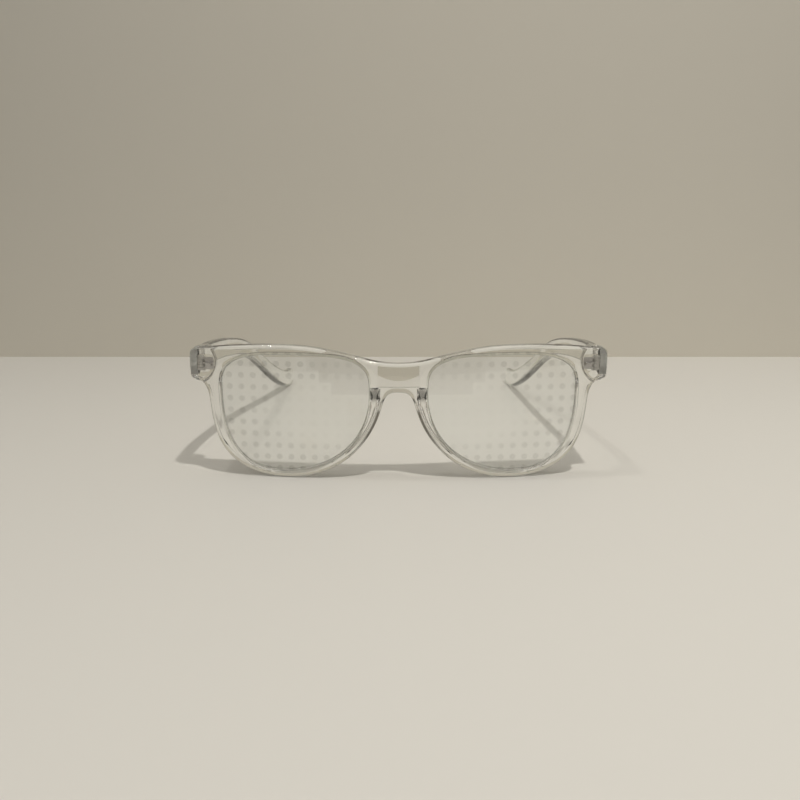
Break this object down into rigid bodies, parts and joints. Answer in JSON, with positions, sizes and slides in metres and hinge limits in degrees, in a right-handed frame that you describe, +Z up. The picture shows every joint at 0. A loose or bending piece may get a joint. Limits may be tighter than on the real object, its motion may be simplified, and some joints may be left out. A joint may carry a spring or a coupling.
{
  "type": "diffraction glasses",
  "caption": "Clear moulded spectacles with diffraction film behind both lenses, moulded nose pads and folding temples on barrel hinges.",
  "frame": {"origin": "on the table under the middle of the open glasses' footprint", "axes": "+Z up, the lenses face -Y, the temples run towards +Y, +X is the wearer's left"},
  "size_m": [0.148, 0.1496, 0.0482],
  "materials": {
    "clear_plastic": "clear, polished polycarbonate",
    "lens": "clear, polished sheet",
    "film": "clear film with a fine grating and a grid of faint dots",
    "hinge_metal": "plain pressed metal",
    "screw_metal": "polished"
  },
  "bodies": {
    "front": {"front_frame": "clear_plastic", "lens_left": "lens", "lens_right": "lens", "film_left": "film", "film_right": "film", "front_leaf_left": "hinge_metal", "front_leaf_right": "hinge_metal", "hinge_screw_left": "screw_metal", "hinge_screw_right": "screw_metal"},
    "left_temple": {"temple_left": "clear_plastic", "temple_leaf_left": "hinge_metal"},
    "right_temple": {"temple_right": "clear_plastic", "temple_leaf_right": "hinge_metal"}
  },
  "joints": [
    {"name": "fold_left", "type": "hinge", "parent": "front", "child": "left_temple", "pos_m": [0.0703, -0.06032, 0.0402], "axis": [0, 0, 1], "range_deg": [0, 86]},
    {"name": "fold_right", "type": "hinge", "parent": "front", "child": "right_temple", "pos_m": [-0.0703, -0.06032, 0.0402], "axis": [0, 0, -1], "range_deg": [0, 82]}
  ]
}
